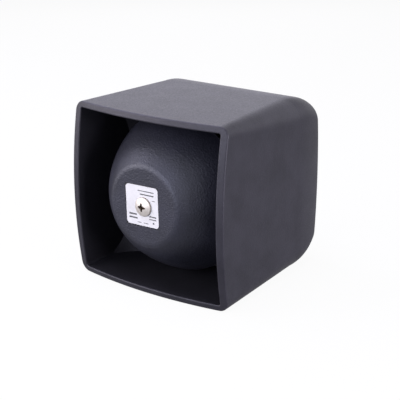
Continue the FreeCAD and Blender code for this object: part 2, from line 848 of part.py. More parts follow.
def rear_cover():
    disc = cylinder(cover_radius, cover_front, 2 * body_depth).common(rear_crown(0.0))
    pocket = cylinder(cover_pocket_radius, 0, 2 * body_depth).common(rear_crown(cover_wall))
    disc = disc.cut(pocket.common(cylinder(cover_pocket_radius, cover_front, 2 * body_depth)))
    pad = cylinder(inlet_spot_radius + inlet_pad_rim, inlet_seat - inlet_pad, body_depth, 0, -inlet_drop)
    disc = disc.fuse(pad.common(rear_crown(0.0)))
    disc = drill(disc, [(0, -inlet_drop)], inlet_spot_radius, 0, inlet_seat - inlet_pad)
    disc = drill(disc, [(0, -inlet_drop)], inlet_spot_radius, inlet_seat, 2 * body_depth)
    disc = drill(disc, [(0, -inlet_drop)], inlet_thread_radius + thread_clearance, 0, 2 * body_depth)
    disc = drill(disc, cover_screw_places(), cover_hole_radius, 0, 2 * body_depth)
    bore = cover_screw_head_radius + hole_clearance
    return only_solid(drill(disc, cover_screw_places(), bore, cover_screw_seat(), 2 * body_depth))


def cover_gasket():
    seal = ring(cover_radius, opening_radius, cover_seat, cover_front)
    return only_solid(drill(seal, cover_screw_places(), cover_hole_radius, cover_seat, cover_front))


def cover_screws():
    seat = cover_screw_seat()
    screws = []
    for x, z in cover_screw_places():
        screw = cylinder(cover_screw_radius, seat - cover_screw_length, seat, x, z)
        head = cylinder(cover_screw_head_radius, seat, seat + cover_screw_head_height, x, z)
        rim = [edge for edge in head.Edges if edge.BoundBox.YMin > mouth_y + seat + 1e-3]
        head = head.makeChamfer(cover_screw_head_height / 3, rim)
        for turn in (0, 90):
            slot = block(cover_screw_radius * 2, cover_screw_head_height, cover_screw_slot, x,
                         seat + cover_screw_head_height * 0.5, z)
            slot.rotate(point(x, 0, z), Vector(0, 1, 0), turn)
            head = head.cut(slot)
        screws.append(only_solid(screw.fuse(head)))
    return Part.Compound(screws)


def mount_inserts():
    start = mount_face - mount_insert_length
    sleeves = []
    for x, z in mount_places():
        sleeve = cylinder(mount_insert_radius, start, mount_face, x, z)
        sleeves.append(sleeve.cut(cylinder(mount_thread_radius, start, mount_face, x, z)))
    return Part.Compound(sleeves)


def inlet_body():
    low = -inlet_drop
    neck_start = inlet_seat + inlet_flange
    body = cylinder(inlet_thread_radius, inlet_seat - inlet_thread_length, inlet_seat, 0, low)
    body = body.fuse(hexagon(inlet_flange_radius, inlet_seat, inlet_flange, 0, low))
    body = body.fuse(cylinder(inlet_neck_radius, neck_start, neck_start + inlet_neck, 0, low))
    start = inlet_seat - inlet_thread_length
    return only_solid(body.cut(cylinder(inlet_bore_radius, start, neck_start + inlet_neck, 0, low)))


def inlet_seal():
    # Rubber ring in the neck, grown to the cap's end
    low = -inlet_drop
    start = inlet_seat + inlet_flange
    end = start + inlet_cap_length - inlet_cap_end
    seal = cylinder(inlet_bore_radius, start, start + inlet_neck, 0, low)
    seal = seal.fuse(cylinder(inlet_neck_radius, start + inlet_neck, end, 0, low))
    return only_solid(seal.cut(cylinder(cable_radius, start, end, 0, low)).removeSplitter())


def inlet_cap():
    low = -inlet_drop
    start = inlet_seat + inlet_flange
    end = start + inlet_cap_length
    cap = hexagon(inlet_cap_radius, start, inlet_cap_length, 0, low)
    cap = cap.common(Part.makeCone(inlet_cap_radius * 1.2, inlet_cap_radius * 0.8, inlet_cap_length,
                                   point(0, start, low), Vector(0, 1, 0)))
    cap = cap.cut(cylinder(inlet_neck_radius, start, end - inlet_cap_end, 0, low))
    return only_solid(cap.cut(cylinder(cable_radius + cable_clearance, start, end, 0, low)))


def inlet_locknut():
    low = -inlet_drop
    end = inlet_seat - inlet_pad
    nut = hexagon(inlet_flange_radius, end - locknut, locknut, 0, low)
    bore = inlet_thread_radius + thread_clearance
    return only_solid(nut.cut(cylinder(bore, end - locknut, end, 0, low)))


sub_parts = [
    horn_housing, reflector_dome, label_plate, reflector_screw, reflector_insert, tone_tube,
    throat_gasket, driver_cap, phase_plug, diaphragm, surround, coil_former, voice_coil,
    diaphragm_gasket, diaphragm_spacer, top_plate, magnet, back_plate, terminal_block, terminals,
    driver_bolts, driver_bolt_washers, driver_inserts, rear_cover, cover_gasket, cover_screws,
    mount_inserts, inlet_body, inlet_seal, inlet_cap, inlet_locknut,
]

for make in sub_parts:
    shape = make()
    shape.exportStep("parts/" + make.__name__ + ".step")
    print(make.__name__, len(shape.Solids), "solids", round(shape.Volume), "mm3", shape.isValid())
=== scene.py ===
import bpy
import bmesh
import math
from mathutils import Matrix, Vector


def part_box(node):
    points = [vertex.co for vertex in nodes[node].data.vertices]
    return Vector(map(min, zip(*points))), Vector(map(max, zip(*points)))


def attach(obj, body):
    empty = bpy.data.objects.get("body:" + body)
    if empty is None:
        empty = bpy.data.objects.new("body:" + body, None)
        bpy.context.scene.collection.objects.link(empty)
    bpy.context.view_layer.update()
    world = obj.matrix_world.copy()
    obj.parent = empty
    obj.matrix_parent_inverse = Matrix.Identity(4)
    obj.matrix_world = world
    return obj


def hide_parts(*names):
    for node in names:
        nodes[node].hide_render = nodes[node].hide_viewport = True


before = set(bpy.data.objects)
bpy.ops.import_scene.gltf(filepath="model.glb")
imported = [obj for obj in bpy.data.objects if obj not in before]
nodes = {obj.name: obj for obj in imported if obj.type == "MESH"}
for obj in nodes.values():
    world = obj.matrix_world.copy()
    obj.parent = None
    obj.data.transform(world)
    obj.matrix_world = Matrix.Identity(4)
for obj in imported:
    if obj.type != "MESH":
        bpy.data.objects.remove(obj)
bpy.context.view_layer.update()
print("frame loaded:", len(nodes), "nodes")


# Small tools for node trees

noiseKinds = {
    "cloud": {"Detail": 4.0, "Roughness": 0.6},
    "patch": {"Detail": 3.0, "Roughness": 0.5},
    "grain": {"Detail": 2.0, "Roughness": 0.6},
    "fine": {"Detail": 2.0, "Roughness": 0.5},
    "wave": {"Detail": 1.0, "Roughness": 0.5},
}
noiseSpan = (0.3, 0.7)                   # most values of a noise lie here
bandTurn = 20.0                          # radians of a wave texture over one metre, at a scale of 1


def startMaterial(name):
    material = bpy.data.materials.new(name)
    material.use_nodes = True
    tree = material.node_tree
    shader = tree.nodes["Principled BSDF"]
    return material, tree, shader


def addNode(tree, kind, inputs=None, **settings):
    node = tree.nodes.new(kind)
    for name, value in settings.items():
        setattr(node, name, value)
    for name, value in (inputs or {}).items():
        if isinstance(value, bpy.types.NodeSocket):
            tree.links.new(value, node.inputs[name])
        else:
            node.inputs[name].default_value = value
    return node


def objectPlace(tree, stretch=(1, 1, 1)):
    # A stretch above 1 makes the pattern finer along that axis, and one below 1 draws it out
    place = addNode(tree, "ShaderNodeTexCoord").outputs["Object"]
    if stretch == (1, 1, 1):
        return place
    return addNode(tree, "ShaderNodeMapping", {"Vector": place, "Scale": stretch}).outputs["Vector"]


def maths(tree, operation, *values):
    return addNode(tree, "ShaderNodeMath", dict(enumerate(values)), operation=operation).outputs[0]


def vectorMaths(tree, operation, *values):
    made = addNode(tree, "ShaderNodeVectorMath", dict(enumerate(values)), operation=operation).outputs
    return [socket for socket in made if socket.enabled][0]


def noise(tree, place, size, kind):
    # size is that of one feature in metres
    inputs = dict(noiseKinds[kind], Vector=place, Scale=1 / size)
    return addNode(tree, "ShaderNodeTexNoise", inputs).outputs["Fac"]


def bands(tree, place, step, direction, **more):
    # step is metres per radian, so one band is 2 pi times as wide
    inputs = dict(more, Vector=place, Scale=1 / step / bandTurn)
    return addNode(tree, "ShaderNodeTexWave", inputs, bands_direction=direction).outputs["Fac"]


def spread(tree, value, span, target=(0.0, 1.0)):
    # Takes the values of a span to those of the target, and holds them beyond it
    inputs = {"Value": value, "From Min": span[0], "From Max": span[1],
              "To Min": target[0], "To Max": target[1]}
    return addNode(tree, "ShaderNodeMapRange", inputs).outputs["Result"]


def mixColours(tree, share, first, second):
    node = addNode(tree, "ShaderNodeMix", data_type="RGBA")
    for place, value in (("Factor", share), ("A", first), ("B", second)):
        socket = [s for s in node.inputs if s.name == place and s.enabled][0]
        if isinstance(value, bpy.types.NodeSocket):
            tree.links.new(value, socket)
        else:
            socket.default_value = value if place == "Factor" else (*value, 1)
    return [s for s in node.outputs if s.enabled][0]


def bump(tree, shader, height, distance, strength=1.0, below=None):
    inputs = {"Height": height, "Distance": distance, "Strength": strength}
    if below is not None:
        inputs["Normal"] = below
    normal = addNode(tree, "ShaderNodeBump", inputs).outputs["Normal"]
    tree.links.new(normal, shader.inputs["Normal"])
    return normal


def boxMask(tree, place, look):
    # The look's show inside a box and 0 outside it; the box may be turned about the front to back axis
    inputs = {"Vector": place, "Center": look["middle"], "Axis": (0, 1, 0), "Angle": look["turn"]}
    turned = addNode(tree, "ShaderNodeVectorRotate", inputs).outputs[0]
    away = vectorMaths(tree, "ABSOLUTE", vectorMaths(tree, "SUBTRACT", turned, look["middle"]))
    parts = addNode(tree, "ShaderNodeSeparateXYZ", {"Vector": away}).outputs
    mask = None
    for part, reach in zip(("X", "Y", "Z"), look["half"]):
        top = look["show"] if mask is None else 1.0
        inside = spread(tree, parts[part], (reach, reach + look["soft"]), (top, 0.0))
        mask = inside if mask is None else maths(tree, "MULTIPLY", mask, inside)
    return mask


def middleOf(name):
    low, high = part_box(name)
    return (low + high) / 2


def dress(material, *names):
    for name in names:
        nodes[name].data.materials.clear()
        nodes[name].data.materials.append(material)


# Meshes: turned pieces, from rows of radius and depth round a front to back axis, and prisms

def latheMesh(mesh, centre, rows, count, swell=None):
    # swell(angle, depth) adds to the radius of the rows that are marked True
    first = len(mesh.verts)
    for radius, depth, marked in rows:
        for index in range(count):
            angle = 2 * math.pi * index / count
            reach = radius + (swell(angle, depth) if marked else 0.0)
            mesh.verts.new((centre[0] + reach * math.cos(angle), depth, centre[1] + reach * math.sin(angle)))
    mesh.verts.ensure_lookup_table()
    for row in range(len(rows) - 1):
        for index in range(count):
            a = first + row * count + index
            b = first + row * count + (index + 1) % count
            mesh.faces.new([mesh.verts[a], mesh.verts[b], mesh.verts[b + count], mesh.verts[a + count]])


def thread(pitch, height):
    # A triangular ridge that winds once round the axis over one pitch
    def swell(angle, depth):
        share = (depth / pitch - angle / (2 * math.pi)) % 1.0
        return height * (1 - abs(2 * share - 1))
    return swell


def prism(mesh, ends):
    # A closed prism between two outlines, each at its own depth
    rings = [[mesh.verts.new((x, depth, z)) for x, z in outline] for depth, outline in ends]
    for ring in rings:
        mesh.faces.new(ring)
    for index in range(len(rings[0])):
        after = (index + 1) % len(rings[0])
        mesh.faces.new([rings[0][index], rings[0][after], rings[1][after], rings[1][index]])


pieceFinish = {"weld": 1e-7, "sharp": 35.0}    # metres and degrees


def finishPiece(mesh, name, material):
    bmesh.ops.remove_doubles(mesh, verts=mesh.verts, dist=pieceFinish["weld"])
    bmesh.ops.recalc_face_normals(mesh, faces=mesh.faces)
    data = bpy.data.meshes.new(name)
    mesh.to_mesh(data)
    mesh.free()
    for polygon in data.polygons:
        polygon.use_smooth = True
    data.set_sharp_from_angle(angle=math.radians(pieceFinish["sharp"]))
    piece = bpy.data.objects.new(name, data)
    bpy.context.scene.collection.objects.link(piece)
    piece.data.materials.append(material)
    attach(piece, "speaker")
    return piece


# Housing, reflector and rear cover: grained charcoal nylon

charcoalLook = {
    "deep": (0.0150, 0.0143, 0.0200),
    "pale": (0.0245, 0.0234, 0.0315),
    "mottle": 0.022,                     # metres, as all sizes here
    "mottleSpan": (0.35, 0.65),
    "grain": 0.0011,
    "grainHeight": 0.00010,
    "grainStrength": 0.6,
    "speckSpan": (0.58, 0.75),           # only the grain's peaks turn pale
    "speckShow": 0.45,
    "streak": 0.0011,                    # fine rings round the body, at constant depth
    "streakLong": 0.05,                  # share of its frequency along the ring
    "streakSpan": (0.50, 0.72),
    "streakShow": 0.40,
    "streakHeight": 0.08,                # share of the grain's height
    "wave": 0.030,                       # faint sink marks of the moulding
    "waveHeight": 0.00035,
    "edgePale": (0.075, 0.073, 0.090),   # rubbed edges
    "edgeReach": 0.0016,
    "edgeSamples": 4,
    "edgeSpan": (0.99, 0.86),            # cosine between the plain and the rounded normal
    "edgeShow": 0.8,
    "rubSpan": (0.35, 0.6),              # the rubbing comes in patches
    "rubShow": (0.2, 1.0),
    "rough": (0.54, 0.40),               # the grain's peaks are the smoother part
    "gloss": 0.38,
    "glossTint": (0.91, 0.89, 1.0),
    "paintedShadeColour": (0.0045, 0.0045, 0.0055),
    # painted shade: the colour above and the box below darken the moulding inside the mouth, where shade
    # falls
    "shade": {"middle": (0, -0.03, 0.075), "half": (0.0699, 0.06, 0.0698), "turn": 0.0,
              "soft": 0.0004, "show": 0.60},
}


def rubbedEdges(tree, cloud, look):
    facing = addNode(tree, "ShaderNodeNewGeometry").outputs["Normal"]
    rounded = addNode(tree, "ShaderNodeBevel", {"Radius": look["edgeReach"]},
                      samples=look["edgeSamples"]).outputs["Normal"]
    lean = vectorMaths(tree, "DOT_PRODUCT", facing, rounded)
    rubbed = spread(tree, lean, look["edgeSpan"], (0.0, look["edgeShow"]))
    patches = spread(tree, cloud, look["rubSpan"], look["rubShow"])
    return maths(tree, "MULTIPLY", rubbed, patches)


def charcoalNylon(name, look):
    material, tree, shader = startMaterial(name)
    place = objectPlace(tree)
    cloud = noise(tree, place, look["mottle"], "cloud")
    speck = noise(tree, place, look["grain"], "grain")
    long = look["streakLong"]
    streak = noise(tree, objectPlace(tree, (long, 1, long)), look["streak"], "fine")
    tone = mixColours(tree, spread(tree, cloud, look["mottleSpan"]), look["deep"], look["pale"])
    for value, kind in ((speck, "speck"), (streak, "streak")):
        share = spread(tree, value, look[kind + "Span"], (0.0, look[kind + "Show"]))
        tone = mixColours(tree, share, tone, look["pale"])
    tone = mixColours(tree, rubbedEdges(tree, cloud, look), tone, look["edgePale"])
    # painted shade: darkens the inside of the housing's mouth, and the gap round the dome's label
    tone = mixColours(tree, boxMask(tree, place, look["shade"]), tone, look["paintedShadeColour"])
    tree.links.new(tone, shader.inputs["Base Color"])
    tree.links.new(spread(tree, speck, noiseSpan, look["rough"]), shader.inputs["Roughness"])
    shader.inputs["Specular IOR Level"].default_value = look["gloss"]
    shader.inputs["Specular Tint"].default_value = (*look["glossTint"], 1)
    waves = bump(tree, shader, noise(tree, place, look["wave"], "wave"), look["waveHeight"])
    cells = addNode(tree, "ShaderNodeTexVoronoi", {"Vector": place, "Scale": 1 / look["grain"]},
                    feature="SMOOTH_F1").outputs["Distance"]
    height = maths(tree, "ADD", cells, speck)
    height = maths(tree, "MULTIPLY_ADD", streak, look["streakHeight"], height)
    bump(tree, shader, height, look["grainHeight"], look["grainStrength"], waves)
    return material


# The reflector is the glossier moulding, with painted shade in the gap round its label

labelTurn = math.radians(1.6)            # the label sits a little turned on the nose
domeLook = dict(
    charcoalLook,
    deep=(0.0112, 0.0113, 0.0180),
    pale=(0.0195, 0.0196, 0.0310),
    rough=(0.54, 0.42),
    gloss=0.60,
    glossTint=(0.84, 0.86, 1.0),
    grain=0.0014,
    grainHeight=0.00030,
    streakShow=0.10,
    # painted shade: the box darkens the recess gap round the label to near black
    shade={"middle": tuple(middleOf("label_plate")), "half": (0.0170, 0.003, 0.0174), "turn": labelTurn,
           "soft": 0.0002, "show": 0.95},
)

dress(charcoalNylon("charcoalNylon", charcoalLook), "horn_housing", "rear_cover")
dress(charcoalNylon("charcoalDome", domeLook), "reflector_dome")
print("charcoal nylon done")


# Plain finishes of most other pieces: a mottled tone with a fine grain

def mottledFinish(name, look, metallic=0.0):
    material, tree, shader = startMaterial(name)
    shader.inputs["Metallic"].default_value = metallic
    place = objectPlace(tree, look.get("stretch", (1, 1, 1)))
    cloud = noise(tree, place, look["mottle"], "patch")
    grain = noise(tree, place, look["grain"], "grain")
    tone = mixColours(tree, spread(tree, cloud, noiseSpan), look["deep"], look["pale"])
    tree.links.new(tone, shader.inputs["Base Color"])
    tree.links.new(spread(tree, grain, noiseSpan, look["rough"]), shader.inputs["Roughness"])
    bump(tree, shader, grain, look["grainHeight"])
    return material


# Plastics, film, rubbers and the magnet's ferrite

mouldedLooks = {
    "hornPlastic": {"deep": (0.018, 0.018, 0.020), "pale": (0.030, 0.030, 0.033), "mottle": 0.012,
                    "grain": 0.0008, "grainHeight": 0.00004, "rough": (0.42, 0.58)},
    "glandPlastic": {"deep": (0.016, 0.016, 0.018), "pale": (0.026, 0.026, 0.028), "mottle": 0.006,
                     "grain": 0.0006, "grainHeight": 0.00002, "rough": (0.30, 0.42)},
    "terminalPlastic": {"deep": (0.030, 0.022, 0.016), "pale": (0.045, 0.034, 0.026), "mottle": 0.004,
                        "grain": 0.0005, "grainHeight": 0.00002, "rough": (0.38, 0.50)},
    "formerFilm": {"deep": (0.26, 0.11, 0.018), "pale": (0.34, 0.16, 0.030), "mottle": 0.005,
                   "grain": 0.0004, "grainHeight": 0.00001, "rough": (0.22, 0.34)},
    "phenolicDome": {"deep": (0.15, 0.060, 0.018), "pale": (0.22, 0.095, 0.032), "mottle": 0.006,
                     "grain": 0.0005, "grainHeight": 0.00003, "rough": (0.34, 0.48)},
    "gasketRubber": {"deep": (0.010, 0.010, 0.010), "pale": (0.020, 0.020, 0.020), "mottle": 0.008,
                     "grain": 0.0006, "grainHeight": 0.00003, "rough": (0.70, 0.88)},
    "glandRubber": {"deep": (0.012, 0.012, 0.013), "pale": (0.022, 0.022, 0.023), "mottle": 0.004,
                    "grain": 0.0004, "grainHeight": 0.00002, "rough": (0.62, 0.80)},
    "ferrite": {"deep": (0.030, 0.030, 0.032), "pale": (0.055, 0.055, 0.058), "mottle": 0.004,
                "grain": 0.0004, "grainHeight": 0.00006, "rough": (0.55, 0.80)},
}
moulded = {name: mottledFinish(name, look) for name, look in mouldedLooks.items()}
dress(moulded["hornPlastic"], "tone_tube", "phase_plug")
dress(moulded["glandPlastic"], "inlet_body", "inlet_cap", "inlet_locknut")
dress(moulded["terminalPlastic"], "terminal_block")
dress(moulded["formerFilm"], "coil_former")
dress(moulded["phenolicDome"], "diaphragm")
dress(moulded["gasketRubber"], "throat_gasket", "diaphragm_gasket", "cover_gasket")
dress(moulded["glandRubber"], "inlet_seal")
dress(moulded["ferrite"], "magnet")
print("moulded finishes done")


# Metals: the grain of the two brasses is finer along one axis, as tool marks are

metalLooks = {
    "castAluminium": {"deep": (0.40, 0.40, 0.41), "pale": (0.55, 0.55, 0.56), "mottle": 0.006,
                      "grain": 0.0006, "grainHeight": 0.00005, "rough": (0.45, 0.65)},
    "zincSteel": {"deep": (0.46, 0.47, 0.50), "pale": (0.60, 0.60, 0.60), "mottle": 0.008,
                  "grain": 0.0005, "grainHeight": 0.00001, "rough": (0.28, 0.42)},
    "insertBrass": {"deep": (0.50, 0.33, 0.12), "pale": (0.64, 0.45, 0.19), "mottle": 0.004,
                    "grain": 0.0003, "grainHeight": 0.00001, "rough": (0.28, 0.45), "stretch": (1, 4, 1)},
    "terminalBrass": {"deep": (0.56, 0.50, 0.33), "pale": (0.66, 0.61, 0.45), "mottle": 0.003,
                      "grain": 0.0003, "grainHeight": 0.00001, "rough": (0.26, 0.40), "stretch": (1, 1, 4)},
    "coverScrewZinc": {"deep": (0.46, 0.45, 0.42), "pale": (0.62, 0.61, 0.58), "mottle": 0.002,
                       "grain": 0.0002, "grainHeight": 0.00001, "rough": (0.24, 0.38)},
}
metals = {name: mottledFinish(name, look, metallic=1.0) for name, look in metalLooks.items()}
dress(metals["castAluminium"], "driver_cap", "diaphragm_spacer")
dress(metals["zincSteel"], "top_plate", "back_plate", "driver_bolts", "driver_bolt_washers")
dress(metals["insertBrass"], "reflector_insert", "driver_inserts")
dress(metals["terminalBrass"], "terminals")
dress(metals["coverScrewZinc"], "cover_screws")
print("metals done")


# Reflector screw: a pale plated head with brown grime in its cross recess, and a threaded shank

screwLook = {
    "plated": (0.78, 0.73, 0.68),
    "dull": (0.60, 0.55, 0.50),
    "grime": (0.060, 0.038, 0.022),
    "metallic": 0.6,
    "rough": (0.36, 0.52),
    "mottle": 0.0025,
    "mottleSpan": (0.35, 0.7),
    "grain": 0.0004,
    "grainHeight": 0.00001,
    "grimeStart": 0.00015,               # below the dome of the head
    "grimeFull": 0.0007,
    "grimeSoft": 0.0005,                 # beyond the tips of the wings
    "rimWidth": 0.0006,                  # grime towards the head's edge
    "rimShow": 0.75,
    "headRadius": 0.0080,
    "headRise": 0.0024,                  # dome above the head's straight edge
    "crownRound": 12,                    # steps of the dome
    "edgeRound": 0.0003,
    "shankRadius": 0.0037,
    "threadHeight": 0.00028,
    "pitch": 0.0014,
    "stepsPerTurn": 6,
    "count": 72,
    "wingReach": 0.0047,                 # cross recess, at the crown
    "wingTip": 0.00055,                  # half width at the tips
    "core": 0.0021,                      # where two wings meet
    "recessDepth": 0.0030,
    "recessTaper": 0.42,
    "cutterRise": 0.0010,                # the cutter starts in front of the crown
    "cutterFlare": 1.15,
    "sharp": 30.0,                       # degrees
}


def crownRadius(look):
    return (look["headRadius"] ** 2 + look["headRise"] ** 2) / (2 * look["headRise"])


def platedScrew(name, look):
    material, tree, shader = startMaterial(name)
    place = objectPlace(tree)
    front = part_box("reflector_screw")[0].y
    middle = middleOf("reflector_screw")
    crown = crownRadius(look)
    away = vectorMaths(tree, "DISTANCE", place, (middle.x, front + crown, middle.z))
    sunk = spread(tree, away, (crown - look["grimeFull"], crown - look["grimeStart"]), (1.0, 0.0))
    flat = vectorMaths(tree, "MULTIPLY", place, (1, 0, 1))
    across = vectorMaths(tree, "DISTANCE", flat, (middle.x, 0, middle.z))
    reach = look["wingReach"]
    near = spread(tree, across, (reach, reach + look["grimeSoft"]), (1.0, 0.0))
    inside = maths(tree, "MULTIPLY", sunk, near)
    cloud = noise(tree, place, look["mottle"], "cloud")
    tone = mixColours(tree, spread(tree, cloud, look["mottleSpan"]), look["plated"], look["dull"])
    edge = look["headRadius"]
    rim = spread(tree, across, (edge - look["rimWidth"], edge), (0.0, look["rimShow"]))
    tone = mixColours(tree, rim, tone, look["grime"])
    tone = mixColours(tree, inside, tone, look["grime"])
    tree.links.new(tone, shader.inputs["Base Color"])
    metallic = spread(tree, inside, (0.0, 1.0), (look["metallic"], 0.0))
    tree.links.new(metallic, shader.inputs["Metallic"])
    rough = maths(tree, "MAXIMUM", spread(tree, cloud, noiseSpan, look["rough"]), inside)
    tree.links.new(rough, shader.inputs["Roughness"])
    bump(tree, shader, noise(tree, place, look["grain"], "fine"), look["grainHeight"])
    return material


def recessCutter(middle, front, look):
    # Four wings that narrow towards their tips and with depth
    outline = []
    for quarter in range(4):
        turn = math.pi / 2 * quarter
        tips = [(look["wingReach"], -look["wingTip"]), (look["wingReach"], look["wingTip"])]
        inner = look["core"] * math.sqrt(0.5)
        for x, z in tips + [(inner, inner)]:
            outline.append((x * math.cos(turn) - z * math.sin(turn),
                            x * math.sin(turn) + z * math.cos(turn)))
    reaches = ((-look["cutterRise"], look["cutterFlare"]), (look["recessDepth"], look["recessTaper"]))
    ends = []
    for depth, scale in reaches:
        ends.append((front + depth, [(middle.x + x * scale, middle.z + z * scale) for x, z in outline]))
    mesh = bmesh.new()
    prism(mesh, ends)
    bmesh.ops.recalc_face_normals(mesh, faces=mesh.faces)
    data = bpy.data.meshes.new("recessCutter")
    mesh.to_mesh(data)
    mesh.free()
    cutter = bpy.data.objects.new("recessCutter", data)
    bpy.context.scene.collection.objects.link(cutter)
    return cutter


def fineScrew(look):
    low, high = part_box("reflector_screw")
    middle = middleOf("reflector_screw")
    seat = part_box("label_plate")[0].y
    edge = low.y + look["headRise"]
    crown = crownRadius(look)
    lean = math.asin((look["headRadius"] - look["edgeRound"]) / crown)
    rows = []
    for step in range(look["crownRound"] + 1):
        turn = lean * step / look["crownRound"]
        rows.append((crown * math.sin(turn), low.y + crown * (1 - math.cos(turn)), False))
    rows += [(look["headRadius"], edge + look["edgeRound"], False), (look["headRadius"], seat, False)]
    steps = int((high.y - seat) / look["pitch"] * look["stepsPerTurn"])
    for step in range(steps + 1):
        rows.append((look["shankRadius"], seat + (high.y - seat) * step / steps, True))
    rows.append((0.0, high.y, False))
    mesh = bmesh.new()
    latheMesh(mesh, (middle.x, middle.z), rows, look["count"], thread(look["pitch"], look["threadHeight"]))
    material = platedScrew("platedScrew", look)
    screw = finishPiece(mesh, "reflectorScrewFine", material)
    cutter = recessCutter(middle, low.y, look)
    cut = screw.modifiers.new("recess", "BOOLEAN")
    cut.object = cutter
    cut.solver = "EXACT"
    shown = screw.evaluated_get(bpy.context.evaluated_depsgraph_get())
    screw.data = bpy.data.meshes.new_from_object(shown)
    screw.modifiers.clear()
    screw.data.set_sharp_from_angle(angle=math.radians(look["sharp"]))
    bpy.data.objects.remove(cutter)
    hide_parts("reflector_screw")


fineScrew(screwLook)
print("reflector screw done")


# Rear mounting inserts: brass sleeves with a lead-in and an inner thread

insertLook = {
    "bore": 0.0034,
    "outside": 0.0053,
    "leadIn": 0.0006,
    "pitch": 0.00125,
    "threadHeight": 0.0005,
    "stepsPerTurn": 6,
    "count": 48,
}


def fineInserts(look):
    low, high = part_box("mount_inserts")
    radius = look["outside"]
    inner = high.y - look["leadIn"]
    steps = int((inner - low.y) / look["pitch"] * look["stepsPerTurn"])
    mesh = bmesh.new()
    for x in (low.x + radius, high.x - radius):
        for z in (low.z + radius, high.z - radius):
            rows = [(radius, low.y, False), (radius, high.y, False),
                    (look["bore"] + look["leadIn"], high.y, False)]
            for step in range(steps + 1):
                rows.append((look["bore"], inner - (inner - low.y) * step / steps, True))
            rows.append((radius, low.y, False))
            latheMesh(mesh, (x, z), rows, look["count"], thread(look["pitch"], look["threadHeight"]))
    inserts = finishPiece(mesh, "mountInsertsFine", metals["insertBrass"])
    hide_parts("mount_inserts")


fineInserts(insertLook)
print("inserts done")


# Surround: impregnated cloth, its weave as crossed threads

clothLook = {
    "deep": (0.10, 0.060, 0.030),
    "pale": (0.20, 0.130, 0.070),
    "threadStep": 0.0006,                # metres per radian of the weave
    "waver": 0.6,
    "waverDetail": 1.0,
    "rough": (0.85, 0.65),
    "height": 0.00005,
}


def surroundCloth(name, look):
    material, tree, shader = startMaterial(name)
    place = objectPlace(tree)
    threads = [bands(tree, place, look["threadStep"], direction, Distortion=look["waver"],
                     Detail=look["waverDetail"]) for direction in ("X", "Z")]
    weave = maths(tree, "MULTIPLY", *threads)
    tree.links.new(mixColours(tree, weave, look["deep"], look["pale"]), shader.inputs["Base Color"])
    tree.links.new(spread(tree, weave, (0.0, 1.0), look["rough"]), shader.inputs["Roughness"])
    bump(tree, shader, weave, look["height"])
    return material


dress(surroundCloth("surroundCloth", clothLook), "surround")


# Voice coil: lacquered turns, side by side along the axis

coilLook = {
    "dark": (0.30, 0.10, 0.045),
    "bright": (0.72, 0.32, 0.16),
    "turnStep": 0.00030,                 # metres per radian from one turn to the next
    "rough": (0.45, 0.25),
    "lacquer": 0.5,
    "height": 0.00008,
}


def coilWire(name, look):
    material, tree, shader = startMaterial(name)
    shader.inputs["Metallic"].default_value = 1.0
    shader.inputs["Coat Weight"].default_value = look["lacquer"]
    turns = bands(tree, objectPlace(tree), look["turnStep"], "Y")
    tree.links.new(mixColours(tree, turns, look["dark"], look["bright"]), shader.inputs["Base Color"])
    tree.links.new(spread(tree, turns, (0.0, 1.0), look["rough"]), shader.inputs["Roughness"])
    bump(tree, shader, turns, look["height"])
    return material


dress(coilWire("coilWire", coilLook), "voice_coil")
print("coil and surround done")


# Label: a white film plate with plain printed rules

labelLook = {
    "film": (0.88, 0.87, 0.89),
    "filmDull": (0.80, 0.79, 0.81),
    "mottle": 0.006,
    "mottleSpan": (0.4, 0.75),
    "rough": (0.40, 0.55),
    "grain": 0.0008,
    "grainHeight": 0.00001,
}

rulesLook = {
    "ink": (0.06, 0.06, 0.065),
    "inkPale": 2.2,                      # times the ink's tone, where it is worn
    "rough": (0.5, 0.7),
    "grain": 0.0008,
    "grainHeight": 0.000005,
    "width": 0.0326,
    "height": 0.0334,
    "lift": 0.00003,
    # rules as middle x, middle z, length and thickness, in shares of the width and height
    "rules": [(0.13, 0.375, 0.50, 0.022), (0.16, 0.290, 0.42, 0.030), (0.36, 0.170, 0.10, 0.016),
              (-0.30, -0.240, 0.24, 0.040), (-0.29, -0.330, 0.26, 0.040), (0.32, -0.230, 0.22, 0.030),
              (0.32, -0.300, 0.22, 0.024), (0.34, -0.390, 0.05, 0.040), (-0.10, -0.425, 0.12, 0.018),
              (0.10, -0.425, 0.14, 0.018)],
}


def labelFilm(name, look):
    material, tree, shader = startMaterial(name)
    place = objectPlace(tree)
    cloud = noise(tree, place, look["mottle"], "cloud")
    tone = mixColours(tree, spread(tree, cloud, look["mottleSpan"]), look["film"], look["filmDull"])
    tree.links.new(tone, shader.inputs["Base Color"])
    tree.links.new(spread(tree, cloud, noiseSpan, look["rough"]), shader.inputs["Roughness"])
    bump(tree, shader, noise(tree, place, look["grain"], "fine"), look["grainHeight"])
    return material


def labelInk(name, look):
    material, tree, shader = startMaterial(name)
    grain = noise(tree, objectPlace(tree), look["grain"], "fine")
    worn = [look["inkPale"] * part for part in look["ink"]]
    tree.links.new(mixColours(tree, grain, look["ink"], worn), shader.inputs["Base Color"])
    tree.links.new(spread(tree, grain, noiseSpan, look["rough"]), shader.inputs["Roughness"])
    bump(tree, shader, grain, look["grainHeight"])
    return material


def labelRules(look):
    middle = middleOf("label_plate")
    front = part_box("label_plate")[0].y
    mesh = bmesh.new()
    for x, z, length, thick in look["rules"]:
        halfLong = length * look["width"] / 2
        halfThick = thick * look["height"] / 2
        outline = [(x * look["width"] + sx * halfLong, z * look["height"] + sz * halfThick)
                   for sx, sz in ((-1, -1), (1, -1), (1, 1), (-1, 1))]
        prism(mesh, [(0, outline), (-look["lift"], outline)])
    turn = Matrix.Rotation(-labelTurn, 4, "Y")
    mesh.transform(Matrix.Translation((middle.x, front, middle.z)) @ turn)
    finishPiece(mesh, "labelRules", labelInk("labelInk", look))


dress(labelFilm("labelFilm", labelLook), "label_plate")
labelRules(rulesLook)
print("label done")


# Stage: a floor that the camera sees as nearly white, soft lamps and the camera

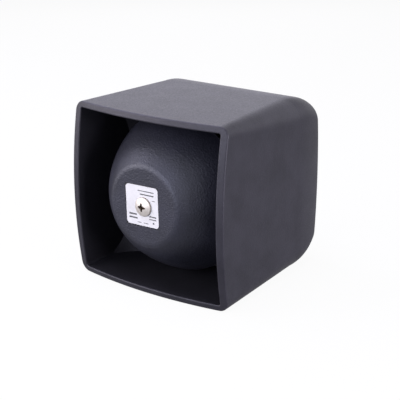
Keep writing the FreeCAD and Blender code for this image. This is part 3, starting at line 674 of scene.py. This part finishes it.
stageLook = {
    "floorSize": 8.0,
    "floorColour": (0.15, 0.15, 0.153),  # what it throws back on the speaker
    "floorDull": 0.97,                   # times that colour in its duller patches
    "floorMottle": 0.4,
    "floorRough": 0.9,
    "floorSeen": (0.90, 0.90, 0.89),
    "floorShow": 0.94,                   # share of the floor that shows as plain white
    "floorGloss": 0.42,                  # share of that white which shows in gloss
    "worldGloss": 1.0,
    "worldColour": (0.96, 0.97, 1.0),
    "worldStrength": 0.03,
}

lampLooks = {
    "keyLamp": {"place": (-0.90, 0.0, 1.15), "size": 0.8, "power": 10.4, "colour": (0.77, 0.74, 1.0)},
    "topLamp": {"place": (0.0, 0.0, 1.475), "size": 0.8, "power": 11.0, "colour": (0.82, 0.80, 1.0)},
    "leftLamp": {"place": (-0.956, -0.956, 0.437), "size": 0.8, "power": 13.4, "colour": (1.0, 0.95, 0.98)},
    "frontLamp": {"place": (0.0, -1.35, 0.437), "size": 0.8, "power": 9.6, "colour": (0.84, 0.87, 1.0)},
    "backLamp": {"place": (-0.80, 1.06, 0.52), "size": 0.8, "power": 2.0, "colour": (0.84, 0.82, 1.0)},
    "rearLamp": {"place": (0.90, 1.05, 0.70), "size": 0.8, "power": 1.2, "colour": (0.95, 0.95, 1.0)},
    "sideLamp": {"place": (1.38, -0.10, 0.20), "size": 0.6, "power": 24.0, "colour": (0.93, 0.91, 1.0)},
}
lampTarget = (0.0, 0.0, 0.075)


def whiteToCamera(tree, shader, share, glossShare):
    # Rays from the camera and through glass see the share as plain white, and gloss a part of that
    rays = addNode(tree, "ShaderNodeLightPath").outputs
    seen = maths(tree, "MULTIPLY_ADD", rays["Is Glossy Ray"], glossShare, rays["Is Camera Ray"])
    seen = maths(tree, "MAXIMUM", seen, rays["Is Transmission Ray"])
    part = maths(tree, "MULTIPLY", seen, share)
    white = addNode(tree, "ShaderNodeEmission", {"Color": (1, 1, 1, 1), "Strength": 1.0}).outputs[0]
    return addNode(tree, "ShaderNodeMixShader", {"Fac": part, 1: shader, 2: white}).outputs[0]


def buildFloor(look):
    bpy.ops.mesh.primitive_plane_add(size=look["floorSize"], location=(0, 0, 0))
    floor = bpy.context.object
    floor.name = "floor"
    material, tree, shader = startMaterial("floorWhite")
    place = objectPlace(tree)
    cloud = noise(tree, place, look["floorMottle"], "fine")
    dull = [look["floorDull"] * part for part in look["floorColour"]]
    tone = mixColours(tree, cloud, look["floorColour"], dull)
    toCamera = addNode(tree, "ShaderNodeLightPath").outputs["Is Camera Ray"]
    tree.links.new(mixColours(tree, toCamera, tone, look["floorSeen"]), shader.inputs["Base Color"])
    shader.inputs["Roughness"].default_value = look["floorRough"]
    shader.inputs["Specular IOR Level"].default_value = 0.0
    output = tree.nodes["Material Output"]
    shown = whiteToCamera(tree, shader.outputs[0], look["floorShow"], look["floorGloss"])
    tree.links.new(shown, output.inputs["Surface"])
    floor.data.materials.append(material)


def buildWorld(look):
    world = bpy.data.worlds.new("studio")
    bpy.context.scene.world = world
    world.use_nodes = True
    tree = world.node_tree
    ground = tree.nodes["Background"]
    ground.inputs["Color"].default_value = (*look["worldColour"], 1)
    ground.inputs["Strength"].default_value = look["worldStrength"]
    mixed = whiteToCamera(tree, ground.outputs[0], 1.0, look["worldGloss"])
    tree.links.new(mixed, tree.nodes["World Output"].inputs["Surface"])


def addLamp(name, look):
    data = bpy.data.lights.new(name, "AREA")
    data.shape = "SQUARE"
    data.size = look["size"]
    data.energy = look["power"]
    data.color = look["colour"]
    lamp = bpy.data.objects.new(name, data)
    bpy.context.scene.collection.objects.link(lamp)
    lamp.location = look["place"]
    aim = Vector(lampTarget) - lamp.location
    lamp.rotation_euler = aim.to_track_quat("-Z", "Y").to_euler()


buildFloor(stageLook)
buildWorld(stageLook)
for lampName, lampLook in lampLooks.items():
    addLamp(lampName, lampLook)
print("stage done")

cameraLook = {
    "azimuth": 36.716,                   # degrees from the front, towards +X
    "elevation": 18.282,
    "roll": 0.282,
    "distance": 0.898178,
    "target": (0.0, -0.0114, 0.075),
    "focalPixels": 1064.466,             # at 400 pixels across
    "middleX": 195.17,
    "middleY": 184.06,
    "frame": 400.0,
    "sensor": 36.0,
    "nearest": 0.05,
    "farthest": 20.0,
}


def placeCamera(look):
    data = bpy.data.cameras.new("photoCamera")
    camera = bpy.data.objects.new("photoCamera", data)
    bpy.context.scene.collection.objects.link(camera)
    turn = math.radians(look["azimuth"])
    rise = math.radians(look["elevation"])
    back = Vector((math.sin(turn) * math.cos(rise), -math.cos(turn) * math.cos(rise), math.sin(rise)))
    camera.location = Vector(look["target"]) + back * look["distance"]
    facing = (-back).to_track_quat("-Z", "Y").to_matrix().to_4x4()
    roll = Matrix.Rotation(-math.radians(look["roll"]), 4, "Z")
    camera.rotation_euler = (facing @ roll).to_euler()
    data.sensor_width = look["sensor"]
    data.lens = look["focalPixels"] / look["frame"] * look["sensor"]
    half = (look["frame"] - 1) / 2
    data.shift_x = (half - look["middleX"]) / look["frame"]
    data.shift_y = (look["middleY"] - half) / look["frame"]
    data.clip_start = look["nearest"]
    data.clip_end = look["farthest"]
    bpy.context.scene.camera = camera


placeCamera(cameraLook)
bpy.context.scene.view_settings.view_transform = "Standard"
print("camera done")
